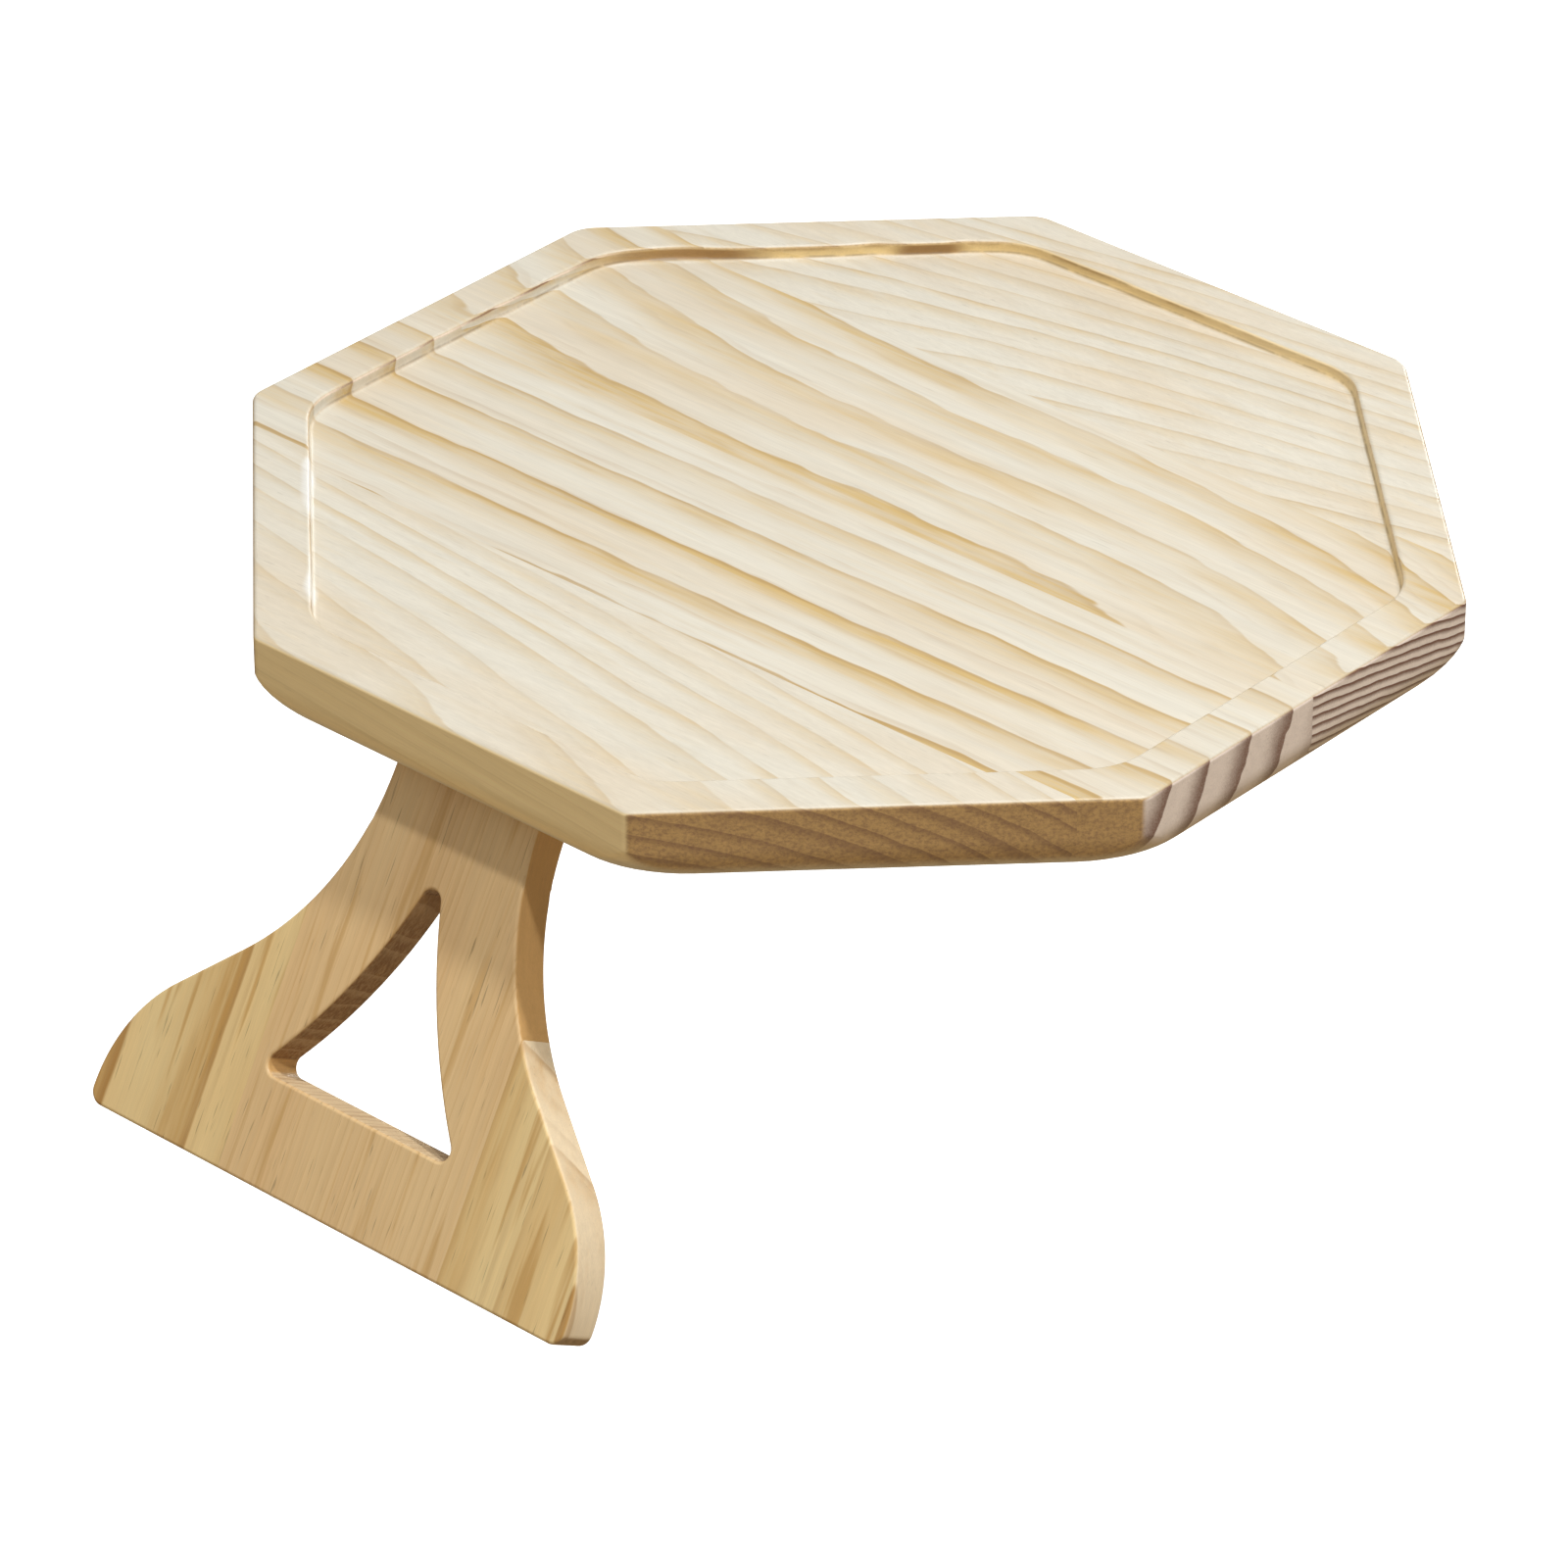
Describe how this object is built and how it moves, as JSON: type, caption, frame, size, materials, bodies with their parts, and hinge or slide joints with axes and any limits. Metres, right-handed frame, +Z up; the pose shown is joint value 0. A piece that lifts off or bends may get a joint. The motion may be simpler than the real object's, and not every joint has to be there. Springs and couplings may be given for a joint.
{
  "type": "sofa arm tray",
  "caption": "Eight-sided pine tray with a shallow recess and two flared legs on spring hinges that fold in under it, to sit over a sofa arm and grip its sides.",
  "frame": {"origin": "middle of the tray's flat underside, which rests on the sofa arm", "axes": "+Z up, X along the grain and both hinge pins, -Y towards the open front leg, +Y towards the folded rear leg"},
  "size_m": [0.3, 0.3456, 0.1279],
  "materials": {
    "tray_pine": "satin varnish",
    "leg_pine": "satin varnish",
    "hinge_steel": "zinc plated",
    "spring_steel": "bright drawn wire",
    "screw_steel": "zinc plated"
  },
  "bodies": {
    "tray": {"tray_stave_1": "tray_pine", "tray_stave_2": "tray_pine", "tray_stave_3": "tray_pine", "tray_stave_4": "tray_pine", "front_hinge_tray_leaf": "hinge_steel", "front_hinge_pin": "hinge_steel", "front_hinge_spring": "spring_steel", "front_tray_screws": "screw_steel", "rear_hinge_tray_leaf": "hinge_steel", "rear_hinge_pin": "hinge_steel", "rear_hinge_spring": "spring_steel", "rear_tray_screws": "screw_steel"},
    "front_leg": {"front_leg_left_stave": "leg_pine", "front_leg_middle_stave": "leg_pine", "front_leg_right_stave": "leg_pine", "front_hinge_leg_leaf": "hinge_steel", "front_leg_screws": "screw_steel"},
    "rear_leg": {"rear_leg_left_stave": "leg_pine", "rear_leg_middle_stave": "leg_pine", "rear_leg_right_stave": "leg_pine", "rear_hinge_leg_leaf": "hinge_steel", "rear_leg_screws": "screw_steel"}
  },
  "joints": [
    {"name": "front_leg_hinge", "type": "hinge", "parent": "tray", "child": "front_leg", "pos_m": [0, -0.1225, -0.003], "axis": [1, 0, 0], "range_deg": [0, 122.8], "stiffness_Nm_per_rad": 0.12, "springref_deg": 167.82, "deforming": ["front_hinge_spring"]},
    {"name": "rear_leg_hinge", "type": "hinge", "parent": "tray", "child": "rear_leg", "pos_m": [0, 0.1225, -0.003], "axis": [1, 0, 0], "range_deg": [0, 122.8], "stiffness_Nm_per_rad": 0.12, "springref_deg": -44.98, "deforming": ["rear_hinge_spring"]}
  ]
}
